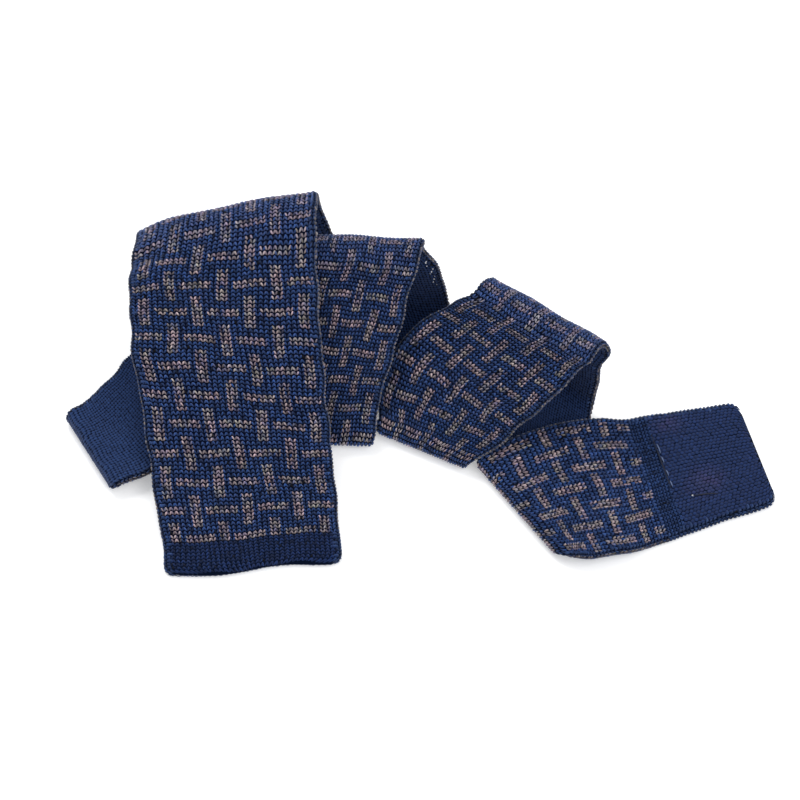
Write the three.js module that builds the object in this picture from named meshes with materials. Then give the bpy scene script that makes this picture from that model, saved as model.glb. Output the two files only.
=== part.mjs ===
import * as THREE from 'three';

// A knitted necktie with square ends, laid down in three loose loops.
// It is one flat knitted tube, whose two walls lie pressed together, so it is built as a solid ribbon.
// Millimetres, +Z up. The tie rests on z = 0, and the origin is under the middle of its box.

const blade_width = 60;
const lay_length = 242;
const lay_depth = 130;
const loop_height = 55;
const cloth_thickness = 3.2;
const layer_gap = 1.2;
const crest_radius = 11;
const hem_length = 12.8;
const tail_band_length = 40.5;
const seam_gap = 0.3;
const corner_radius = 4;

const navy = 0x1c2742;
const navy_and_brown = 0x3c3a4a;

// How finely the surface follows the route: the turn, in degrees, and the length that one step may take.
const step_turn = 13;
const step_length = 8;
const trial_steps_per_row = 24;

// One row of a table is a section straight across the tie, in these columns:
// x and y, the middle of the section, as shares of lay_length and lay_depth;
// turn, the direction from the left selvedge to the right one, in degrees from +X;
// width, a share of blade_width;
// layer, how many thicknesses of cloth lie under the section;
// left and right, how far each selvedge is lifted above that, as shares of loop_height.
function section(x, y, turn, width, layer, left, right) {
  return { x, y, turn, width, layer, left, right };
}

// A fold turns the tie back on itself along a straight line, in a half circle from one layer to another.
// spread is how much wider it leaves than it came, on the right side, as a share of blade_width.
// inward is +1 where the cloth lies to the left of the line's direction, and -1 where to its right.
// last is the angle where it leaves the half circle. Past 180 degrees it runs straight on.
function fold(x, y, turn, width, spread, inward, from_layer, to_layer, last) {
  const across = THREE.MathUtils.degToRad(turn);
  const radius = Math.abs(to_layer - from_layer) * (cloth_thickness + layer_gap) / 2;
  const angles = [-60, 0, 45, 90, 135, 180].filter((degrees) => degrees < last - 15);
  return [...angles, last].map((degrees) => {
    const angle = THREE.MathUtils.degToRad(THREE.MathUtils.clamp(degrees, 0, 180));
    const run_in = Math.abs(degrees - 90) > 90 ? 1 : 0;
    const inset = inward * radius * (1 - Math.sin(angle) + run_in);
    const over = (1 - Math.cos(angle)) / 2;
    const layer = from_layer + (to_layer - from_layer) * over;
    const wider = spread * over * over;
    const aside = wider * blade_width / 2;
    const move_x = (aside * Math.cos(across) - inset * Math.sin(across)) / lay_length;
    const move_y = (aside * Math.sin(across) + inset * Math.cos(across)) / lay_depth;
    return section(x + move_x, y + move_y, turn, width + wider, layer, 0, 0);
  });
}

// A crest turns the tie over the top of a loop and down behind it, after a climb of so many degrees.
// roundness is its radius as a share of crest_radius.
function crest(x, y, turn, width, left, right, climb, roundness) {
  const across = THREE.MathUtils.degToRad(turn);
  const radius = roundness * crest_radius;
  return [-climb, 0, 30, 60, 90].map((degrees) => {
    const angle = THREE.MathUtils.degToRad(degrees);
    const along = radius * Math.sin(angle);
    const drop = radius * (1 - Math.cos(angle)) / loop_height;
    const on_x = -Math.sin(across) * along / lay_length;
    const on_y = Math.cos(across) * along / lay_depth;
    return section(x + on_x, y + on_y, turn, width, 0, left - drop, right - drop);
  });
}

// The wide blade climbs from its hem, face up, to the crest of the first loop.
const blade = [
  section(-0.234, -0.468, 7, 1.00, 0, 0, 0),
  section(-0.238, -0.380, 6, 0.99, 0, 0, 0),
  section(-0.244, -0.291, 4, 1.01, 0, 0.05, 0.05),
  section(-0.253, -0.169, 0, 1.03, 0, 0.15, 0.17),
  section(-0.262, -0.047, -4, 1.05, 0, 0.29, 0.33),
  section(-0.273, 0.079, -7, 1.09, 0, 0.43, 0.52),
  section(-0.278, 0.210, -7, 1.09, 0, 0.50, 0.69),
  section(-0.280, 0.322, -6, 1.10, 0, 0.54, 0.83),
];

// The first loop turns over and comes down behind, face to the back.
const first_loop = [
  ...crest(-0.276, 0.432, -3, 1.09, 0.56, 0.97, 28, 1.2),
  section(-0.243, 0.527, 0, 0.91, 0, 0.30, 0.56),
  section(-0.229, 0.518, 0, 0.87, 0, 0.18, 0.29),
  section(-0.222, 0.498, 0, 0.87, 0, 0.05, 0.07),
];

// The narrow neck runs out to the left, plain side up, folds under, comes back and folds once more.
const neck = [
  section(-0.254, 0.384, -1, 0.76, 0, 0.12, 0.10),
  section(-0.312, 0.250, -11, 0.59, 2, 0, 0),
  section(-0.370, 0.077, -42, 0.60, 1, 0.06, 0.04),
  section(-0.419, -0.031, -58, 0.65, 1, 0, 0),
  ...fold(-0.464, -0.089, -63, 0.62, -0.08, 1, 1, 0, 240),
  section(-0.388, 0.035, -50, 0.63, 0, 0, 0),
  section(-0.318, 0.162, -30, 0.66, 0, 0, 0),
  ...fold(-0.242, 0.248, -19, 0.78, 0, -1, 0, 1, 240),
  section(-0.214, 0.136, -15, 0.74, 1, 0, 0),
  section(-0.188, 0.054, -8, 0.73, 0, 0.07, 0.02),
];

// The second loop starts at a soft front fold and leans to the right.
const second_loop = [
  ...fold(-0.163, -0.046, -2, 0.75, 0.02, 1, 0, 1.5, 140),
  section(-0.147, 0.056, -5, 0.73, 0, 0.26, 0.27),
  section(-0.126, 0.165, -9, 0.74, 0, 0.45, 0.46),
  section(-0.111, 0.272, -10, 0.76, 0, 0.61, 0.66),
  ...crest(-0.097, 0.349, -9, 0.78, 0.74, 0.83, 40, 0.7),
  section(-0.068, 0.406, -8, 0.75, 0, 0.42, 0.50),
  section(-0.049, 0.399, -7, 0.69, 0, 0.22, 0.25),
  section(-0.034, 0.366, -6, 0.66, 0, 0.07, 0.05),
  section(-0.023, 0.273, -5, 0.62, 0, 0, 0),
  section(-0.011, 0.115, -10, 0.56, 0, 0, 0),
];

// The third loop starts at an oblique front fold and turns out to the right.
const third_loop = [
  ...fold(-0.001, -0.067, -28, 0.55, 0.07, 1, 0, 1.4, 160),
  section(0.020, -0.026, -32, 0.76, 0, 0.135, 0.153),
  section(0.057, 0.060, -38, 0.88, 0, 0.335, 0.262),
  section(0.106, 0.104, -41, 0.87, 0, 0.50, 0.42),
  section(0.136, 0.118, -36, 0.83, 0, 0.61, 0.57),
  ...crest(0.163, 0.141, -37, 0.81, 0.69, 0.67, 30, 0.7),
  section(0.184, 0.186, -41, 0.72, 0, 0.38, 0.40),
  section(0.185, 0.184, -43, 0.69, 0, 0.20, 0.22),
  section(0.180, 0.165, -44, 0.67, 0, 0.05, 0.05),
  section(0.171, 0.068, -44, 0.66, 0, 0, 0),
  section(0.160, -0.092, -50, 0.69, 0, 0, 0),
];

// The narrow tail folds over the last floor run and lies flat, face up, to its square end.
const tail = [
  ...fold(0.134, -0.267, -56, 0.78, 0.06, 1, 0, 1, 180),
  section(0.193, -0.246, -69, 0.97, 1, 0, 0),
  section(0.244, -0.219, -71, 0.96, 1, 0.02, -0.03),
  section(0.285, -0.190, -73, 0.92, 0, 0.07, 0),
  section(0.322, -0.165, -75, 0.90, 0, 0, 0),
  section(0.373, -0.133, -76, 0.85, 0, 0, 0),
  section(0.426, -0.103, -75, 0.80, 0, 0, 0),
  section(0.473, -0.077, -74, 0.76, 0, 0, 0),
];

const route = [...blade, ...first_loop, ...neck, ...second_loop, ...third_loop, ...tail];

// The two selvedge points of a section, in millimetres.
function selvedges(row) {
  const floor = cloth_thickness / 2;
  const rest = floor + row.layer * (cloth_thickness + layer_gap);
  const left_height = Math.max(floor, rest + row.left * loop_height);
  const right_height = Math.max(floor, rest + row.right * loop_height);
  const width = row.width * blade_width;
  const rise = right_height - left_height;
  const reach = Math.sqrt(width * width - rise * rise) / 2;
  const turn = THREE.MathUtils.degToRad(row.turn);
  const x = row.x * lay_length;
  const y = row.y * lay_depth;
  return {
    left: new THREE.Vector3(x - reach * Math.cos(turn), y - reach * Math.sin(turn), left_height),
    right: new THREE.Vector3(x + reach * Math.cos(turn), y + reach * Math.sin(turn), right_height),
  };
}

// A smooth curve through four points at knots t, by Barry and Goldman's pyramid of straight blends.
function blend(points, t, at) {
  const mix = (a, b, ta, tb) => a.clone().lerp(b, (at - ta) / (tb - ta));
  const a1 = mix(points[0], points[1], t[0], t[1]);
  const a2 = mix(points[1], points[2], t[1], t[2]);
  const a3 = mix(points[2], points[3], t[2], t[3]);
  const b1 = mix(a1, a2, t[0], t[2]);
  const b2 = mix(a2, a3, t[1], t[3]);
  return mix(b1, b2, t[1], t[2]);
}

// Extends a list by one mirrored point at each end.
function extended(points) {
  const last = points.length - 1;
  const before = points[0].clone().multiplyScalar(2).sub(points[1]);
  const after = points[last].clone().multiplyScalar(2).sub(points[last - 1]);
  return [before, ...points, after];
}

const ends = route.map(selvedges);
const lefts = extended(ends.map((pair) => pair.left));
const rights = extended(ends.map((pair) => pair.right));
const middles = lefts.map((point, i) => point.clone().lerp(rights[i], 0.5));
const knots = [0];
for (let i = 1; i < middles.length; i += 1) {
  knots.push(knots[i - 1] + Math.sqrt(Math.max(1, middles[i].distanceTo(middles[i - 1]))));
}

// The section at a place between two rows. No cloth sinks below the surface that it lies on.
function section_at(row, share) {
  const t = knots.slice(row, row + 4);
  const at = t[1] + (t[2] - t[1]) * share;
  const left = blend(lefts.slice(row, row + 4), t, at);
  const right = blend(rights.slice(row, row + 4), t, at);
  left.z = Math.max(left.z, cloth_thickness / 2);
  right.z = Math.max(right.z, cloth_thickness / 2);
  return { left, right };
}

// Sections all along the tie, each with the length travelled at its middle.
const trial = [];
for (let row = 0; row < route.length - 1; row += 1) {
  for (let step = 0; step < trial_steps_per_row; step += 1) {
    trial.push(section_at(row, step / trial_steps_per_row));
  }
}
trial.push(section_at(route.length - 2, 1));
trial.forEach((cut, i) => {
  cut.middle = cut.left.clone().lerp(cut.right, 0.5);
  cut.travelled = i === 0 ? 0 : trial[i - 1].travelled + cut.middle.distanceTo(trial[i - 1].middle);
});
const tie_length = trial[trial.length - 1].travelled;

// The section at a length travelled from the hem, between the two nearest trial sections.
function cut_at(travelled) {
  let next = trial.findIndex((cut) => cut.travelled >= travelled);
  next = next < 1 ? (next < 0 ? trial.length - 1 : 1) : next;
  const from = trial[next - 1];
  const to = trial[next];
  const share = (travelled - from.travelled) / (to.travelled - from.travelled);
  return {
    left: from.left.clone().lerp(to.left, share),
    right: from.right.clone().lerp(to.right, share),
    travelled,
  };
}

// The direction of travel at one selvedge or between them, share 0 at the left and 1 at the right.
function heading(travelled, share) {
  const reach = 0.4;
  const before = cut_at(Math.max(0, travelled - reach));
  const after = cut_at(Math.min(tie_length, travelled + reach));
  const from = before.left.lerp(before.right, share);
  return after.left.lerp(after.right, share).sub(from).normalize();
}

// The stations of a piece: a new one wherever a selvedge has turned or travelled far enough.
function stations(start, end) {
  const list = [start];
  const limit = Math.cos(THREE.MathUtils.degToRad(step_turn));
  let last = { at: start, left: heading(start, 0), right: heading(start, 1) };
  for (const cut of trial) {
    const at = cut.travelled;
    if (at <= start + seam_gap || at >= end - seam_gap) continue;
    const left = heading(at, 0);
    const right = heading(at, 1);
    const turned = left.dot(last.left) < limit || right.dot(last.right) < limit;
    if (turned || at - last.at > step_length) {
      list.push(at);
      last = { at, left, right };
    }
  }
  list.push(end);
  return list;
}

// Near a free end the corners are round: how much narrower the tie is at each side there.
function corner_inset(travelled) {
  const to_end = Math.min(travelled, tie_length - travelled);
  const inside = Math.max(0, corner_radius - to_end);
  return corner_radius - Math.sqrt(corner_radius * corner_radius - inside * inside);
}

// The outline of the flat tube's section: shares of the width across, and of half the thickness up.
const flat_shares = [0, 0.25, 0.5, 0.75, 1];
const outline = [
  ...flat_shares.map((share) => ({ share, up: 1 })),
  { share: 1, edge: 1, up: 0 },
  ...flat_shares.map((share) => ({ share: 1 - share, up: -1 })),
  { share: 0, edge: -1, up: 0 },
];

// A piece of the tie between two lengths travelled, as one closed mesh.
function piece(name, colour, start, end) {
  const corners = [0.15, 0.5, 1].map((share) => share * corner_radius);
  const extra = [...corners, ...corners.map((reach) => tie_length - reach)];
  const places = [...stations(start, end), ...extra.filter((at) => at > start && at < end)];
  places.sort((a, b) => a - b);
  const kept = places.filter((at, i) => i === 0 || at - places[i - 1] > seam_gap);
  const half = cloth_thickness / 2;
  const positions = [];
  for (const at of kept) {
    const cut = cut_at(at);
    const across = cut.right.clone().sub(cut.left);
    const width = across.length();
    across.normalize();
    const inset = corner_inset(at);
    for (const spot of outline) {
      const flat = (inset + half) / width + spot.share * (1 - 2 * (inset + half) / width);
      const up = across.clone().cross(heading(at, flat)).normalize();
      const point = cut.left.clone().addScaledVector(across, flat * width);
      point.addScaledVector(across, (spot.edge ?? 0) * half);
      point.addScaledVector(up, spot.up * half);
      positions.push(point.x, point.y, Math.max(0, point.z));
    }
  }
  const ring = outline.length;
  const triangles = [];
  for (let i = 0; i + 1 < kept.length; i += 1) {
    for (let j = 0; j < ring; j += 1) {
      const a = i * ring + j;
      const b = i * ring + (j + 1) % ring;
      triangles.push(a, b, a + ring, b, b + ring, a + ring);
    }
  }
  const last = (kept.length - 1) * ring;
  const side = ring - 1;
  for (let j = 0; j < flat_shares.length - 1; j += 1) {
    const top = [j, j + 1];
    const under = [side - 1 - j, side - 2 - j];
    triangles.push(top[0], under[0], top[1], top[1], under[0], under[1]);
    triangles.push(last + top[0], last + top[1], last + under[0]);
    triangles.push(last + top[1], last + under[1], last + under[0]);
  }
  triangles.push(side, side - 1, 0, last + side, last, last + side - 1);
  const right = flat_shares.length;
  triangles.push(right - 1, right + 1, right, last + right - 1, last + right, last + right + 1);
  const geometry = new THREE.BufferGeometry();
  geometry.setAttribute('position', new THREE.Float32BufferAttribute(positions, 3));
  geometry.setIndex(triangles);
  geometry.computeVertexNormals();
  const material = new THREE.MeshStandardMaterial({ color: colour, roughness: 0.95, metalness: 0 });
  const mesh = new THREE.Mesh(geometry, material);
  mesh.name = name;
  return mesh;
}

const band_start = tie_length - tail_band_length;
const group = new THREE.Group();
group.add(piece('blade_hem', navy, 0, hem_length));
group.add(piece('patterned_tube', navy_and_brown, hem_length + seam_gap, band_start));
group.add(piece('tail_band', navy, band_start + seam_gap, tie_length));

const box = new THREE.Box3().setFromObject(group);
group.position.set(-(box.min.x + box.max.x) / 2, -(box.min.y + box.max.y) / 2, 0);
group.updateMatrixWorld(true);

export default group;
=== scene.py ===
import math

import bpy
import numpy as np
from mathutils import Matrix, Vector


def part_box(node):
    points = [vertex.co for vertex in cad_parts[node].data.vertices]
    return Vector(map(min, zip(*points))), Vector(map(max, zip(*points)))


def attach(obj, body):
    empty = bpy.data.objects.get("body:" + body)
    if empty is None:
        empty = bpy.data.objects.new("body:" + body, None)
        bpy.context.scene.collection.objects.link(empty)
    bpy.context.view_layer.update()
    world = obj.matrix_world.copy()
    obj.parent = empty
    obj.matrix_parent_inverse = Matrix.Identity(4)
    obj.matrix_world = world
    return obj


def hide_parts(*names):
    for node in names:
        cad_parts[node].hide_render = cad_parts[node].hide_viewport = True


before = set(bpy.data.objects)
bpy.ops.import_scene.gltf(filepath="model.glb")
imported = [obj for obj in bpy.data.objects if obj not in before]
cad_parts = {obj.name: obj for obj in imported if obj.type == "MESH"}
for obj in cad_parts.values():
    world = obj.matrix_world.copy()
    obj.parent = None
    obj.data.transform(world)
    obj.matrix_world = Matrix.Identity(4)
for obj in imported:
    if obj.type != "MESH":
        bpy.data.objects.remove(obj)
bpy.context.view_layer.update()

# The tie lies on a white table under soft studio light. The camera looks down at it from the front,
# 50 degrees above the table and from far off, so that the picture has next to no perspective.
view_middle = np.array([-0.0062, 0.0115, 0.0])
view_distance = 3.0
view_angle = math.radians(50)
view_width = 0.2743

scene = bpy.context.scene
lens = bpy.data.cameras.new("camera")
lens.sensor_width = 36
lens.lens = lens.sensor_width * view_distance / view_width
camera = bpy.data.objects.new("camera", lens)
backwards = np.array([0, -math.cos(view_angle), math.sin(view_angle)])
camera.location = view_middle + view_distance * backwards
camera.rotation_euler = (math.pi / 2 - view_angle, 0, 0)
scene.collection.objects.link(camera)
scene.camera = camera
scene.view_settings.view_transform = "Standard"

world = bpy.data.worlds.new("studio")
world.use_nodes = True
world.node_tree.nodes["Background"].inputs["Color"].default_value = (0.97, 0.985, 1, 1)
world.node_tree.nodes["Background"].inputs["Strength"].default_value = 0.62
scene.world = world


def soft_light(name, place, size, power):
    """A square area light at a place, turned to face the middle of the table."""
    data = bpy.data.lights.new(name, "AREA")
    data.size = size
    data.energy = power
    lamp = bpy.data.objects.new(name, data)
    lamp.location = place
    x, y, z = place
    lamp.rotation_euler = (math.atan2(math.hypot(x, y), z), 0, math.atan2(x, -y))
    scene.collection.objects.link(lamp)


soft_light("key", (-0.45, 0.55, 1.15), 0.7, 8)
soft_light("fill", (0.6, -0.6, 0.9), 0.9, 7)


def plain_material(name, colour, roughness, glow=0.0):
    """A material of one colour, with a white glow where one is given."""
    material = bpy.data.materials.new(name)
    material.use_nodes = True
    shader = material.node_tree.nodes["Principled BSDF"]
    shader.inputs["Base Color"].default_value = (*colour, 1)
    shader.inputs["Roughness"].default_value = roughness
    shader.inputs["Emission Color"].default_value = (1, 1, 1, 1)
    shader.inputs["Emission Strength"].default_value = glow
    return material


table_reach = 6
table_mesh = bpy.data.meshes.new("table")
table_corners = [(x * table_reach, y * table_reach, 0) for x, y in ((-1, -1), (1, -1), (1, 1), (-1, 1))]
table_mesh.from_pydata(table_corners, [], [(0, 1, 2, 3)])
table = bpy.data.objects.new("table", table_mesh)
scene.collection.objects.link(table)
table_mesh.materials.append(plain_material("table_white", (0.93, 0.93, 0.93), 0.9, glow=0.34))

# The plain hem at the end of the wide blade, where the knitting starts. The tie is one flat knitted tube of
# silk and wool, so this section also gives the way that the whole tube lies: the table of its sections, each
# with its middle, direction, width and lift, in shares of the named sizes.
blade_width, lay_length, lay_depth, loop_height = 0.060, 0.242, 0.130, 0.055
cloth_thickness, layer_gap, crest_radius, corner_radius = 0.0032, 0.0012, 0.011, 0.004
hem_length, tail_band_length, seam_gap = 0.0128, 0.0405, 0.0003
layer_pitch = cloth_thickness + layer_gap


def fold(x, y, turn, width, spread, inward, from_layer, to_layer, last):
    """Rows of a fold: half a circle of the layers' radius from one layer to another, in steps of angle up to
    the last. The right side gains the spread with the square of the way over."""
    across = math.radians(turn)
    radius = abs(to_layer - from_layer) * layer_pitch / 2
    rows = []
    for degrees in [d for d in (-60, 0, 45, 90, 135, 180) if d < last - 15] + [last]:
        angle = math.radians(min(max(degrees, 0), 180))
        run_in = 1 if abs(degrees - 90) > 90 else 0
        inset = inward * radius * (1 - math.sin(angle) + run_in)
        over = (1 - math.cos(angle)) / 2
        layer = from_layer + (to_layer - from_layer) * over
        wider = spread * over**2
        aside = wider * blade_width / 2
        move_x = (aside * math.cos(across) - inset * math.sin(across)) / lay_length
        move_y = (aside * math.sin(across) + inset * math.cos(across)) / lay_depth
        rows.append((x + move_x, y + move_y, turn, width + wider, layer, 0, 0))
    return rows


def crest(x, y, turn, width, left, right, climb, roundness):
    """Rows over a loop's top: a quarter circle, its radius a share of the crest's, after a climb of so many
    degrees."""
    across = math.radians(turn)
    radius = roundness * crest_radius
    rows = []
    for degrees in (-climb, 0, 30, 60, 90):
        angle = math.radians(degrees)
        reach = radius * math.sin(angle)
        drop = radius * (1 - math.cos(angle)) / loop_height
        on = (-math.sin(across) * reach / lay_length, math.cos(across) * reach / lay_depth)
        rows.append((x + on[0], y + on[1], turn, width, 0, left - drop, right - drop))
    return rows


# x, y, turn, width, layer, left, right
blade = [
    (-0.234, -0.468, 7, 1.00, 0, 0, 0),
    (-0.238, -0.380, 6, 0.99, 0, 0, 0),
    (-0.244, -0.291, 4, 1.01, 0, 0.05, 0.05),
    (-0.253, -0.169, 0, 1.03, 0, 0.15, 0.17),
    (-0.262, -0.047, -4, 1.05, 0, 0.29, 0.33),
    (-0.273, 0.079, -7, 1.09, 0, 0.43, 0.52),
    (-0.278, 0.210, -7, 1.09, 0, 0.50, 0.69),
    (-0.280, 0.322, -6, 1.10, 0, 0.54, 0.83),
]
first_loop = [
    *crest(-0.276, 0.432, -3, 1.09, 0.56, 0.97, 28, 1.2),
    (-0.243, 0.527, 0, 0.91, 0, 0.30, 0.56),
    (-0.229, 0.518, 0, 0.87, 0, 0.18, 0.29),
    (-0.222, 0.498, 0, 0.87, 0, 0.05, 0.07),
]
neck = [
    (-0.254, 0.384, -1, 0.76, 0, 0.12, 0.10),
    (-0.312, 0.250, -11, 0.59, 2, 0, 0),
    (-0.370, 0.077, -42, 0.60, 1, 0.06, 0.04),
    (-0.419, -0.031, -58, 0.65, 1, 0, 0),
    *fold(-0.464, -0.089, -63, 0.62, -0.08, 1, 1, 0, 240),
    (-0.388, 0.035, -50, 0.63, 0, 0, 0),
    (-0.318, 0.162, -30, 0.66, 0, 0, 0),
    *fold(-0.242, 0.248, -19, 0.78, 0, -1, 0, 1, 240),
    (-0.214, 0.136, -15, 0.74, 1, 0, 0),
    (-0.188, 0.054, -8, 0.73, 0, 0.07, 0.02),
]
second_loop = [
    *fold(-0.163, -0.046, -2, 0.75, 0.02, 1, 0, 1.5, 140),
    (-0.147, 0.056, -5, 0.73, 0, 0.26, 0.27),
    (-0.126, 0.165, -9, 0.74, 0, 0.45, 0.46),
    (-0.111, 0.272, -10, 0.76, 0, 0.61, 0.66),
    *crest(-0.097, 0.349, -9, 0.78, 0.74, 0.83, 40, 0.7),
    (-0.068, 0.406, -8, 0.75, 0, 0.42, 0.50),
    (-0.049, 0.399, -7, 0.69, 0, 0.22, 0.25),
    (-0.034, 0.366, -6, 0.66, 0, 0.07, 0.05),
    (-0.023, 0.273, -5, 0.62, 0, 0, 0),
    (-0.011, 0.115, -10, 0.56, 0, 0, 0),
]
third_loop = [
    *fold(-0.001, -0.067, -28, 0.57, 0.07, 1, 0, 1.4, 160),
    (0.020, -0.026, -32, 0.76, 0, 0.135, 0.153),
    (0.057, 0.060, -38, 0.88, 0, 0.335, 0.262),
    (0.106, 0.104, -41, 0.87, 0, 0.50, 0.42),
    (0.136, 0.118, -36, 0.83, 0, 0.61, 0.57),
    *crest(0.163, 0.141, -37, 0.81, 0.69, 0.67, 30, 0.7),
    (0.184, 0.186, -41, 0.72, 0, 0.38, 0.40),
    (0.185, 0.184, -43, 0.69, 0, 0.20, 0.22),
    (0.180, 0.165, -44, 0.67, 0, 0.05, 0.05),
    (0.171, 0.068, -44, 0.66, 0, 0, 0),
    (0.160, -0.092, -50, 0.69, 0, 0, 0),
]
tail = [
    *fold(0.134, -0.267, -56, 0.78, 0.12, 1, 0, 1, 180),
    (0.193, -0.246, -69, 0.97, 1, 0, 0),
    (0.244, -0.219, -71, 0.96, 1, 0.02, -0.03),
    (0.285, -0.190, -73, 0.92, 0, 0.07, 0),
    (0.322, -0.165, -75, 0.90, 0, 0, 0),
    (0.373, -0.133, -76, 0.85, 0, 0, 0),
    (0.426, -0.103, -75, 0.80, 0, 0, 0),
    (0.473, -0.077, -74, 0.76, 0, 0, 0),
]
route = np.array([*blade, *first_loop, *neck, *second_loop, *third_loop, *tail])


def selvedges(rows):
    """The left and right selvedge points: the middle, less and plus half the width that the rise leaves
    over, square root of width squared less rise squared, along the direction of the section."""
    x, y, turn, width, layer, left, right = rows.T
    floor = cloth_thickness / 2
    rest = floor + layer * layer_pitch
    heights = [np.maximum(floor, rest + lift * loop_height) for lift in (left, right)]
    reach = np.sqrt((width * blade_width) ** 2 - (heights[1] - heights[0]) ** 2) / 2
    turn = np.radians(turn)
    ends = []
    for side, height in zip((-1, 1), heights):
        ends.append(np.stack([
            x * lay_length + side * reach * np.cos(turn),
            y * lay_depth + side * reach * np.sin(turn),
            height,
        ], axis=1))
    return ends


def smoothed(points, knots, at):
    """A curve through the points by Barry and Goldman's pyramid: each level blends its neighbours in
    proportion to the distance from their knots."""
    p = [points[i:len(points) - 3 + i, None] for i in range(4)]
    t = [knots[i:len(knots) - 3 + i, None, None] for i in range(4)]

    def mix(a, b, ta, tb):
        return a + (b - a) * (at - ta) / (tb - ta)

    a = [mix(p[i], p[i + 1], t[i], t[i + 1]) for i in range(3)]
    b = [mix(a[i], a[i + 1], t[i], t[i + 2]) for i in range(2)]
    return mix(b[0], b[1], t[1], t[2]).reshape(-1, 3)


def extended(points):
    """The points with one more at each end, mirrored through the end point."""
    return np.concatenate([[2 * points[0] - points[1]], points, [2 * points[-1] - points[-2]]])


left_ends, right_ends = (extended(points) for points in selvedges(route))
chords = np.linalg.norm(np.diff((left_ends + right_ends) / 2, axis=0), axis=1)
knots = np.concatenate([[0], np.cumsum(np.sqrt(np.maximum(0.001, chords)))])
steps_per_row = 24
shares = np.arange(steps_per_row) / steps_per_row
at = knots[1:-2, None, None] + np.diff(knots)[1:-1, None, None] * shares[None, :, None]
left_line = np.concatenate([smoothed(left_ends, knots, at), left_ends[-2:-1]])
right_line = np.concatenate([smoothed(right_ends, knots, at), right_ends[-2:-1]])
for line in (left_line, right_line):
    line[:, 2] = np.maximum(line[:, 2], cloth_thickness / 2)
steps = np.linalg.norm(np.diff((left_line + right_line) / 2, axis=0), axis=1)
travelled = np.concatenate([[0], np.cumsum(steps)])
tie_length = travelled[-1]
band_start = tie_length - tail_band_length
# A loop's top is the second row of its crest. In the second and third loop it lies 9 rows before the end.
rows_past_top = 9
first_top, second_top, third_top = travelled[steps_per_row * np.array([
    len(blade) + 1,
    len(blade) + len(first_loop) + len(neck) + len(second_loop) - rows_past_top,
    len(route) - len(tail) - rows_past_top,
])]


def selvedges_at(along):
    """The two selvedge points at a length from the hem. Within the corner radius of a free end they draw
    in by the radius less the root of its square less the square of what is missing to it."""
    left, right = (
        np.stack([np.interp(along, travelled, line[:, k]) for k in range(3)], axis=-1)
        for line in (left_line, right_line)
    )
    missing = np.clip(corner_radius - np.minimum(along, tie_length - along), 0, corner_radius)
    drawn = corner_radius - np.sqrt(corner_radius**2 - missing**2)
    across = right - left
    across = across / np.linalg.norm(across, axis=-1, keepdims=True)
    return left + across * drawn[..., None], right - across * drawn[..., None]


body_half, end_rounding, least_height = 0.00112, 0.0016, 0.00004
cloth_ripple, side_waver, hem_wave, hem_reach = 0.0005, 0.0005, 0.0009, 0.012
top_bow, shoulder_droop, shoulder_push, top_reach = 0.0024, 0.0055, 0.0016, 0.016


def skin(along, turn, lift):
    """A point on the tube. turn goes round its section: 0 to 1 over the front from left to right, 1 to 2
    round the right side, 2 to 3 over the back and 3 to 4 round the left side. The skin is half the body's
    thickness from the middle, and lift stands further off it. Towards a free end that half falls off as a
    quarter circle does. The raised cloth ripples and its sides waver, as products and sums of slow sines.
    Over the first loop's top, within a bell, the cloth bows up in its middle as a sine, and its left
    shoulder droops and moves out, with the square of the nearness to the side. The hem's edge waves as a
    sine does. No point comes below the table."""
    along, turn, lift = np.broadcast_arrays(along, turn, lift)
    along = np.clip(along, 0.0, tie_length)
    left, right = selvedges_at(along)
    width = np.linalg.norm(right - left, axis=-1)
    inset = body_half / width
    part = turn - np.floor(turn)
    kind = np.floor(turn).astype(int) % 4
    sweep = part * np.pi
    level = np.zeros_like(part)
    over = (1 - 2 * inset) * part
    core = np.choose(kind, [inset + over, 1 - inset, 1 - inset - over, inset])
    side = np.choose(kind, [level, np.sin(sweep), level, -np.sin(sweep)])
    face = np.choose(kind, [level + 1, np.cos(sweep), level - 1, -np.cos(sweep)])
    near_end = np.clip(np.minimum(along, tie_length - along) / end_rounding, 0, 1)
    half = body_half * (0.2 + 0.8 * np.sqrt(1 - (1 - near_end) ** 2))
    reach = 0.0004
    before = selvedges_at(np.clip(along - reach, 0, tie_length))
    after = selvedges_at(np.clip(along + reach, 0, tie_length))
    core = core[..., None]
    heading = (after[0] - before[0]) * (1 - core) + (after[1] - before[1]) * core
    across = (right - left) / width[..., None]
    up = np.cross(across, heading)
    up = up / np.linalg.norm(up, axis=-1, keepdims=True)
    out = side[..., None] * across + face[..., None] * up
    points = left * (1 - core) + right * core + out * (half + lift)[..., None] + set_down
    raised = np.clip((points[..., 2:] - 0.004) / 0.008, 0, 1)
    path = along[..., None]
    ripple = cloth_ripple * np.sin(path * 190 + core * 5) * np.sin(core * 7 + path * 40 + 1)
    waver = side_waver * (core - 0.5) * (np.sin(path * 270) + np.sin(path * 421 + core * 3))
    points = points + raised * ripple * up + (0.4 + 0.6 * raised) * waver * across
    core = core[..., 0]
    near_top = np.exp(-((along - first_top) / top_reach) ** 2)
    near_hem = np.exp(-(along / hem_reach) ** 2)
    shoulder = np.clip(1 - core / 0.2, 0, 1) ** 2
    points[..., 2] += near_top * (top_bow * np.sin(core * np.pi) - shoulder_droop * shoulder)
    points[..., 0] -= near_top * shoulder_push * shoulder
    points[..., 1] += near_hem * hem_wave * np.sin(core * 8.5 + 2.2)
    points[..., 2] = np.maximum(points[..., 2], least_height)
    return points


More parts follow.
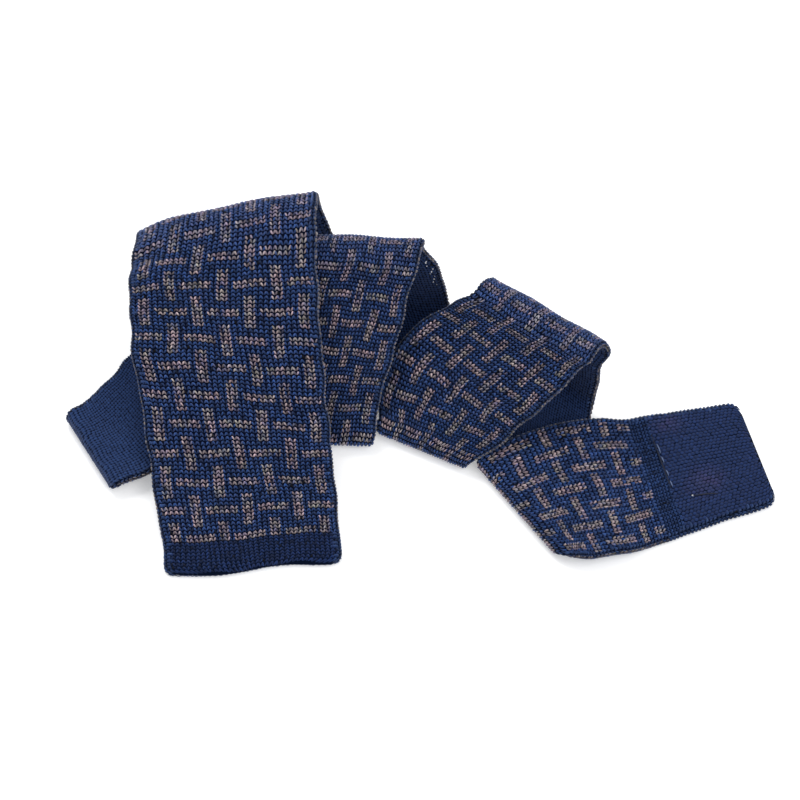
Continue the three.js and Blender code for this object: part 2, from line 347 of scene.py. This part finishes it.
# The tube is set down where its solid lies in the frame, with room for its stitches.
set_down = np.zeros(3)
stitch_room = cloth_thickness / 2 - body_half
tube_rows = np.linspace(hem_length + seam_gap, band_start, 900)
outer = skin(tube_rows[:, None], np.linspace(0, 4, 49), stitch_room)
set_down = np.array(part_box("patterned_tube")[0], float) - outer.reshape(-1, 3).min(axis=0)
set_down[2] = 0


def cloth_piece(name, points, faces):
    """A smooth-shaded piece with these points and faces."""
    mesh = bpy.data.meshes.new(name)
    mesh.from_pydata(points.reshape(-1, 3), [], faces)
    mesh.shade_smooth()
    piece = bpy.data.objects.new(name, mesh)
    scene.collection.objects.link(piece)
    return piece


def ground(name, start, end, row_pitch=0.0012):
    """The tube's body between two lengths, under its stitches: quads over a grid of rows along the tie and
    columns round it, the last column joined to the first. The ends are closed from front to back."""
    front, sides = np.linspace(0, 1, 17), np.linspace(0, 1, 6)[1:-1]
    turns = np.roll(np.concatenate([front, 1 + sides, 2 + front, 3 + sides]), 2)
    along = np.linspace(start, end, max(3, int((end - start) / row_pitch)))
    rows, ring = len(along), len(turns)
    r, c = np.meshgrid(np.arange(rows - 1), np.arange(ring), indexing="ij")
    a, b = r * ring + c, r * ring + (c + 1) % ring
    quads = np.stack([a, b, b + ring, a + ring], axis=-1).reshape(-1, 4)
    j = np.arange(ring // 2 - 1)
    cap = np.stack([j, ring - 1 - j, ring - 2 - j, j + 1], axis=-1)
    quads = np.concatenate([quads, cap, cap[:, ::-1] + (rows - 1) * ring])
    return cloth_piece(name, skin(along[:, None], turns[None, :], 0.0), quads)


def patches(name, points, faces, marks):
    """Many small open shells in one mesh. points is shells by points by 3, faces is one shell's triangles,
    and marks is shells by points by 3: the second yarn's share, the stitch's tone, and its painted light
    and shade."""
    shells, size = points.shape[:2]
    all_faces = (faces[None] + size * np.arange(shells)[:, None, None]).reshape(-1, faces.shape[1])
    piece = cloth_piece(name, points, all_faces)
    mark = piece.data.attributes.new("stitch", "FLOAT_VECTOR", "POINT")
    mark.data.foreach_set("vector", np.ascontiguousarray(marks, np.float32).ravel())
    return piece


wales = 34
course = 0.00142
chance = np.random.default_rng(34)


tall_chance, shift_chance, lean_chance = 0.12, 0.035, 0.05


def legs(along, turn, pitch, second, height, rows=course, painted_shade_contrast=1.0):
    """The two legs of knit stitches, points and marks. A leg is a drop-shaped shell that climbs from the
    stitch's foot, low in the wale's middle, to its head at the wale's side a course further, where it
    meets the next wale's leg. way, swell and ridge give how far on, how wide and how high the leg is at
    five places. The marks carry painted light and shade: painted shade at the foot and on the flanks, and a
    painted highlight towards the head and along the ridge."""
    way = np.array([0.0, 0.25, 0.55, 0.85, 1.0])
    swell = np.array([0.0, 0.75, 1.0, 1.0, 0.0])
    ridge = np.array([0.0, 0.6, 0.92, 1.0, 0.35])
    middle, half = 0.03 + 0.50 * way, 0.10 * swell
    up, slant = 0.80 * way, 0.22 * swell
    x, y, z, painted_lit = [], [], [], []
    for i in range(5):
        for j in (-1, 0, 1) if 0 < i < 4 else (0,):
            x.append(middle[i] + j * half[i])
            y.append(up[i] - j * slant[i])
            z.append(ridge[i] if j == 0 else 0.0)
            painted_lit.append((0.12 + 0.88 * way[i]) * (1.0 if j == 0 else 0.45))
    x, y, z, painted_lit = (np.array(v) for v in (x, y, z, painted_lit))
    mirror = np.array([-1, 1])[None, :, None]
    n = len(along)
    jitter = chance.normal(0, 1, (n, 2, 4))
    tall = height * (1 + tall_chance * jitter[..., 0:1])
    shift = shift_chance * jitter[..., 1:2]
    lean = lean_chance * jitter[..., 2:3]
    xs = (mirror * x[None, None] + shift) * pitch
    ys = y[None, None] + lean * mirror * x[None, None] * 2
    points = skin(along[:, None, None] + ys * rows, turn[:, None, None] + xs, tall * z[None, None])
    marks = np.zeros((n, 2, len(x), 3))
    marks[..., 0] = second[:, None, None] * (1 - 0.42 * np.abs(jitter[..., 3:4]))
    marks[..., 1] = 0.54 + 0.40 * jitter[..., 0:1]
    painted_shade_contrast = np.broadcast_to(painted_shade_contrast, n)[:, None, None]
    # Painted light and shade over the leg, spread out or drawn in about 0.62 by the contrast.
    marks[..., 2] = 0.62 + painted_shade_contrast * (painted_lit[None, None] - 0.62)
    points, marks = points.reshape(-1, len(x), 3), marks.reshape(-1, len(x), 3)
    faces = np.array([
        (0, 3, 2), (0, 2, 1), (1, 2, 5), (1, 5, 4), (2, 3, 6), (2, 6, 5),
        (4, 5, 8), (4, 8, 7), (5, 6, 9), (5, 9, 8), (7, 8, 10), (8, 9, 10),
    ])
    return points, faces, marks


def course_places(start, end, count, first_turn, pitch, rows=course, wander=0.007):
    """The course, wale, length and turn of all stitches between two lengths: count wales, one every pitch.
    Two slow sines push the courses to and fro by a sixth of a course each, and one pushes the wales a
    little sideways."""
    lines = np.arange(math.ceil(start / rows - 0.5), math.ceil(end / rows - 0.5))
    j, i = (grid.ravel() for grid in np.meshgrid(lines, np.arange(count), indexing="ij"))
    along, turn = (j + 0.1) * rows, (i + 0.5) * pitch
    along = along + 0.16 * rows * (np.sin(turn * 9 + along * 61) + np.sin(turn * 23 - along * 97 + 2))
    turn = turn + wander * np.sin(np.pi * turn) * np.sin(along * 143 + turn * 7)
    return i, j, along, first_turn + turn


def bumps(along, turn, pitch, tone, height=0.0004, rows=course, second=0.0):
    """The round heads that show on the plain side: six-sided domes, a little wider than their places and
    jittered, with marks that paint a highlight towards the top and painted shade at the rim."""
    angle = np.arange(6) * np.pi / 3
    radius = 0.56
    x = np.concatenate([[0], radius * np.cos(angle)])
    y = np.concatenate([[0], radius * np.sin(angle)])
    z = np.concatenate([[1], np.zeros(6)])
    jitter = chance.normal(0, 1, (len(along), 4))[:, None]
    tall = height * (1 + 0.15 * jitter[..., 0])
    points = skin(
        along[:, None] + (y + 0.05 * jitter[..., 1]) * rows,
        turn[:, None] + (x + 0.05 * jitter[..., 2]) * pitch,
        tall * z,
    )
    marks = np.zeros((len(along), 7, 3))
    marks[..., 0] = np.broadcast_to(second, along.shape)[:, None]
    marks[..., 1] = tone[:, None] + 0.10 * jitter[..., 3]
    # Painted light and shade: darker at the rim, lighter at the top.
    marks[..., 2] = 0.30 + 0.62 * z
    faces = np.array([(0, 1 + k, 1 + (k + 1) % 6) for k in range(6)])
    return points, faces, marks


def yarn_group():
    """The colour of a yarn over a stitch: the first or second yarn by the stitch's mark, lighter and
    darker from stitch to stitch, with painted shade down between the stitches and a painted highlight on
    their tops, and marled with fine noise. The second yarn turns into its warm colour in broad patches.
    Noise scales are per metre."""
    group = bpy.data.node_groups.new("marled_yarn", "ShaderNodeTree")
    for name in ("First", "Second", "Warm"):
        group.interface.new_socket(name, in_out="INPUT", socket_type="NodeSocketColor")
    group.interface.new_socket("Colour", in_out="OUTPUT", socket_type="NodeSocketColor")
    group.interface.new_socket("Normal", in_out="OUTPUT", socket_type="NodeSocketVector")
    nodes, links = group.nodes, group.links
    given, result = nodes.new("NodeGroupInput"), nodes.new("NodeGroupOutput")
    mark = nodes.new("ShaderNodeAttribute")
    mark.attribute_name = "stitch"
    parts = nodes.new("ShaderNodeSeparateXYZ")
    links.new(mark.outputs["Vector"], parts.inputs[0])
    where = nodes.new("ShaderNodeTexCoord")

    def noise(scale, detail):
        node = nodes.new("ShaderNodeTexNoise")
        node.inputs["Scale"].default_value = scale
        node.inputs["Detail"].default_value = detail
        links.new(where.outputs["Object"], node.inputs["Vector"])
        return node.outputs["Fac"]

    def feed(socket, value):
        if isinstance(value, (int, float)):
            socket.default_value = value
        else:
            links.new(value, socket)

    def maths(kind, a, b, clamp=False):
        node = nodes.new("ShaderNodeMath")
        node.operation = kind
        node.use_clamp = clamp
        for socket, value in zip(node.inputs, (a, b)):
            feed(socket, value)
        return node.outputs[0]

    def mixed(factor, a, b, kind="MIX"):
        node = nodes.new("ShaderNodeMix")
        node.data_type = "RGBA"
        node.blend_type = kind
        for socket, value in ((node.inputs[0], factor), (node.inputs[6], a), (node.inputs[7], b)):
            feed(socket, value)
        return node.outputs[2]

    fine = noise(2600, 2)
    broad = noise(240, 2)
    speckle = maths("MULTIPLY", maths("SUBTRACT", fine, 0.5), 0.7)
    share = maths("ADD", parts.outputs[0], speckle, True)
    warmth = maths("MULTIPLY", maths("SUBTRACT", broad, 0.40, True), 3.2, True)
    second = mixed(warmth, given.outputs["Second"], given.outputs["Warm"])
    yarn = mixed(share, given.outputs["First"], second)
    tone = maths("ADD", maths("MULTIPLY", parts.outputs[1], 0.9), 0.55)
    # Painted light and shade from the mark's third part: darker down between the stitches.
    painted_shade_depth = maths("ADD", maths("MULTIPLY", parts.outputs[2], 0.86), 0.34)
    shade = maths("MULTIPLY", tone, painted_shade_depth)
    grey = nodes.new("ShaderNodeCombineColor")
    for k in range(3):
        links.new(shade, grey.inputs[k])
    links.new(mixed(1.0, yarn, grey.outputs[0], "MULTIPLY"), result.inputs["Colour"])
    bump = nodes.new("ShaderNodeBump")
    bump.inputs["Strength"].default_value = 0.35
    bump.inputs["Distance"].default_value = 0.00015
    links.new(fine, bump.inputs["Height"])
    links.new(bump.outputs[0], result.inputs["Normal"])
    return group


marled_yarn = yarn_group()


def yarn(name, first, second, warm, sheen=0.3, gloss=0.15):
    """A matte yarn material with a soft fuzz, from the marled yarn group."""
    material = bpy.data.materials.new(name)
    material.use_nodes = True
    nodes, links = material.node_tree.nodes, material.node_tree.links
    shader = nodes["Principled BSDF"]
    shader.inputs["Roughness"].default_value = 0.85
    shader.inputs["Specular IOR Level"].default_value = gloss
    shader.inputs["Sheen Weight"].default_value = sheen
    shader.inputs["Sheen Roughness"].default_value = 0.45
    shader.inputs["Sheen Tint"].default_value = (0.75, 0.78, 0.9, 1)
    colour = nodes.new("ShaderNodeGroup")
    colour.node_tree = marled_yarn
    colour.inputs["First"].default_value = (*first, 1)
    colour.inputs["Second"].default_value = (*second, 1)
    colour.inputs["Warm"].default_value = (*warm, 1)
    links.new(colour.outputs["Colour"], shader.inputs["Base Color"])
    links.new(colour.outputs["Normal"], shader.inputs["Normal"])
    return material


def shadowed_yarn(name, colour):
    """The yarn down under the stitches: one colour, with neither fuzz nor gloss. Where that colour is darker
    than the yarn above, it is painted shade in the gaps.
    """
    return yarn(name, colour, colour, colour, sheen=0.0, gloss=0.02)


navy_yarn = yarn("navy_yarn", (0.008, 0.024, 0.092), (0.05, 0.05, 0.13), (0.07, 0.035, 0.10))
under_plain = shadowed_yarn("under_plain_stitches", (0.010, 0.026, 0.085))
hem = ground("blade_hem_ground", 0.0, hem_length)
hem.data.materials.append(under_plain)
wale = 1 / wales
i, j, along, turn = course_places(0.0, hem_length, wales, 0, wale)
hem_height, plain_painted_shade_contrast = 0.0005, 0.5
hem_legs = legs(along, turn, wale, np.zeros(len(along)), hem_height, painted_shade_contrast=plain_painted_shade_contrast)
hem_stitches = patches("blade_hem_stitches", *hem_legs)
hem_stitches.data.materials.append(navy_yarn)
i, j, along, turn = course_places(0.0, hem_length, wales, 2, wale)
hem_back = patches("blade_hem_back", *bumps(along, turn, wale, np.full(len(along), 0.5)))
hem_back.data.materials.append(navy_yarn)
for piece in (hem, hem_stitches, hem_back):
    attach(piece, "root")
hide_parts("blade_hem")

# The patterned tube, knitted on from the hem in navy and brown, front and back at once. Its front carries
# upright bars and short crossbars, and its back, which shows inside the loops, is plain navy birdseye.
brown_and_navy = yarn("brown_and_navy_yarn", (0.018, 0.056, 0.19), (0.43, 0.31, 0.33), (0.36, 0.34, 0.29))


def chart(i, j):
    """The second yarn's share at a wale and course: columns stand 5 wales apart, and in each a bar of 2
    wales by 8 courses and one of 6 by 2 take turns every 14 courses, shifted by 7 from column to column."""
    second = np.zeros(len(i))
    first = math.ceil(hem_length / course - 0.5)
    for k in range(-1, 9):
        beside = i - (5 * k + 1)
        row = (j - first + 3 + 7 * (k % 2)) % 14
        upright = (row < 8) & (beside >= 0) & (beside < 2)
        level = (row >= 10) & (row < 12) & (beside >= -2) & (beside < 4)
        second[upright | level] = 1
    return second


def near_tops(along):
    """How near a length is to the top of a loop: a sum of bells, 1 at each top. There the stretched
    stitches lie flatter, with weaker painted light and shade."""
    tops = np.array([first_top, second_top, third_top])
    return np.exp(-((along[:, None] - tops - 0.002) / 0.013) ** 2).sum(axis=1)


tube = ground("patterned_ground", hem_length + seam_gap, band_start)
# Its colour, far darker than the navy yarn above, is painted shade in the gaps between the stitches.
tube.data.materials.append(shadowed_yarn("under_patterned_painted_shade", (0.007, 0.015, 0.060)))
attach(tube, "root")
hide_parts("patterned_tube")
# A lighter copy of the navy yarn: painted light for the backs, which lie in shade inside the loops. The tail
# band's jersey uses it too.
lightened_navy_yarn = yarn("navy_yarn_painted_light", (0.015, 0.040, 0.130), (0.05, 0.05, 0.13), (0.05, 0.05, 0.12))
back_course = 0.00112
front_height, flatter_by, back_height = 0.00058, 0.00018, 0.0003
cuts = np.linspace(hem_length, band_start, 5)
for number, (start, end) in enumerate(zip(cuts[:-1], cuts[1:]), 1):
    i, j, along, turn = course_places(start, end, wales, 0, wale)
    calm = near_tops(along)
    # Near the loops' tops the brown bars fade and a little brown greys the navy: painted sheen where the
    # light grazes the crests.
    second = chart(i, j) * (1 - 0.4 * calm) + 0.08 * calm
    height = front_height - flatter_by * calm[:, None, None]
    stitches = legs(along, turn, wale, second, height, painted_shade_contrast=1 - 0.6 * calm)
    front = patches(f"patterned_front_{number}", *stitches)
    front.data.materials.append(brown_and_navy)
    i, j, along, turn = course_places(start, end, wales, 2, wale, back_course)
    tone = 0.46 + 0.10 * ((i + j) % 2)
    back = patches(f"plain_back_{number}", *bumps(along, turn, wale, tone, back_height, back_course))
    back.data.materials.append(lightened_navy_yarn)
    for piece in (front, back):
        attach(piece, "root")

# The small holes that the stretched stitches leave beside the right selvedge, down the back of the second
# loop. Each is a small pale dome, because the white table shows through the real hole.
hole_count, hole_step, hole_size = 13, 0.0014, 0.0005
first_hole, first_hole_turn, hole_turn_step = second_top + 0.0140, 2.014, 0.017
hole_stray, hole_turn_stray = 0.0003, 0.003
hole = np.arange(hole_count)
along = first_hole + hole_step * hole + hole_stray * chance.normal(0, 1, hole_count)
turn = first_hole_turn + hole_turn_step * (hole % 3) + hole_turn_stray * chance.normal(0, 1, hole_count)
hole_tone = np.full(hole_count, 0.5)
holes = patches("stitch_holes", *bumps(along, turn, 0.4 * wale, hole_tone, hole_size, hole_size))
holes.data.materials.append(plain_material("table_through_holes", (0.9, 0.9, 0.93), 0.9))
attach(holes, "root")

# The selvedges: the tube's two sides, where a chain of larger stitches in the same yarns turns from the
# front to the back. Its middle wale carries brown stitches between the two plain bands.
chain_yarn = yarn("selvedge_yarn", (0.016, 0.040, 0.12), (0.24, 0.20, 0.19), (0.20, 0.18, 0.14))
side_wales, chain_height = 3, 0.00045
last_course = tie_length - 0.0008
for name, side in (("right_selvedge", 1), ("left_selvedge", 3)):
    i, j, along, turn = course_places(0.0, last_course, side_wales, side, 1 / side_wales, wander=0)
    patterned = (along > hem_length) & (along < band_start)
    second = np.where(patterned & (i == 1), 0.55 + 0.4 * (j % 3 < 2), 0.0)
    chain = patches(name, *legs(along, turn, 1 / side_wales, second, chain_height))
    chain.data.materials.append(chain_yarn)
    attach(chain, "root")

# The plain band at the end of the narrow tail, knitted on in navy: fine jersey first, then birdseye, which
# has two faint purple stains. Its tube is closed at the end like the hem's.
jersey_length, jersey_height, tail_band_width = 0.0076, 0.0004, 0.049
stitch_line = band_start + jersey_length
tail_ground = ground("tail_band_ground", band_start + seam_gap, tie_length)
tail_ground.data.materials.append(under_plain)
i, j, along, turn = course_places(band_start - 0.0004, stitch_line, wales, 0, wale, back_course)
jersey_legs = legs(along, turn, wale, np.zeros(len(along)), jersey_height, back_course, plain_painted_shade_contrast)
tail_jersey = patches("tail_band_jersey", *jersey_legs)
tail_jersey.data.materials.append(lightened_navy_yarn)
i, j, along, turn = course_places(stitch_line, last_course, wales, 0, wale)
stain = np.zeros(len(along))
for strength, middle_turn, turn_reach, past_line, reach in (
    (0.5, 0.66, 0.12, 0.012, 0.006),
    (0.4, 0.08, 0.08, 0.006, 0.005),
):
    sideways = (turn - middle_turn) / turn_reach
    lengthways = (along - stitch_line - past_line) / reach
    stain += strength * np.exp(-sideways**2 - lengthways**2)
staggered = along + 0.5 * course * (i % 2)
heads = bumps(staggered, turn, wale, 0.44 + 0.16 * ((i + j) % 2), second=stain)
birdseye = patches("tail_band_birdseye", *heads)
birdseye.data.materials.append(navy_yarn)
i, j, along, turn = course_places(band_start, last_course, wales, 2, wale)
tail_back = patches("tail_band_back", *bumps(along, turn, wale, np.full(len(along), 0.5)))
tail_back.data.materials.append(navy_yarn)
for piece in (tail_ground, tail_jersey, birdseye, tail_back):
    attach(piece, "root")
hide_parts("tail_band")

# The sewing thread: one broken row of short stitches across the tail band, drawn into the cloth so that a
# groove shows, a second groove at right angles to it further on, and a pale loose end of thread. The two
# grooves are near-black threads laid on the cloth: painted shade.


def threads(name, paths, radius):
    """Round threads, six-sided, along paths of points; each thins towards its two ends as the root of a
    sine."""
    points, faces = [], []
    for path in paths:
        heading = np.gradient(path, axis=0)
        heading /= np.linalg.norm(heading, axis=1)[:, None]
        side = np.cross(heading, (0, 0, 1))
        side /= np.linalg.norm(side, axis=1)[:, None]
        over = np.cross(side, heading)
        thin = radius * np.sqrt(np.sin(np.linspace(0.02, 0.98, len(path)) * np.pi))
        angle = (np.arange(6) * np.pi / 3)[None, :, None]
        ring = np.cos(angle) * side[:, None] + np.sin(angle) * over[:, None]
        first = len(points) * 6
        for k in range(len(path) - 1):
            for m in range(6):
                a, b = first + 6 * k + m, first + 6 * k + (m + 1) % 6
                faces.append((a, b, b + 6, a + 6))
        points.extend(path[:, None] + thin[:, None, None] * ring)
    piece = cloth_piece(name, np.array(points), faces)
    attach(piece, "root")
    return piece


def run(start, end, lift, count=9):
    """A thread's path over the front between two points, each a length past the sewn line and a turn. It
    bows up as a sine does."""
    share = np.linspace(0, 1, count)
    along = stitch_line + start[0] + (end[0] - start[0]) * share
    return skin(along, start[1] + (end[1] - start[1]) * share, lift * (0.4 + 0.6 * np.sin(share * np.pi)))


thread_radius, groove_radius, end_radius = 0.00019, 0.00024, 0.0002
thread_lift, groove_lift, end_lift = 0.0007, 0.00052, 0.0009
dashes = [(0.245, 0.33), (0.36, 0.415), (0.48, 0.53), (0.575, 0.63)]
stitches = [run((0.0003, a), (0.0005, b), thread_lift) for a, b in dashes]
sewn = threads("tail_stitching", stitches, thread_radius)
# Near-black threads along the grooves: painted shade.
groove_shade_paths = [
    run((-0.0004, 0.15), (-0.0002, 0.65), groove_lift, 60),
    run((0.0057, 0.75), (0.0148, 0.80), groove_lift, 30),
]
groove_shade = threads("tail_stitching_groove_shade", groove_shade_paths, groove_radius)
end_path = run((0.0058, 0.755), (0.0062, 0.762), end_lift, 5)
loose_end = threads("tail_stitching_end", [end_path], end_radius)
for piece, name, colour in (
    (sewn, "sewing_thread", (0.13, 0.18, 0.32)),
    (groove_shade, "groove_painted_shade", (0.003, 0.006, 0.02)),
    (loose_end, "thread_end", (0.75, 0.75, 0.72)),
):
    piece.data.materials.append(plain_material(name, colour, 0.7))
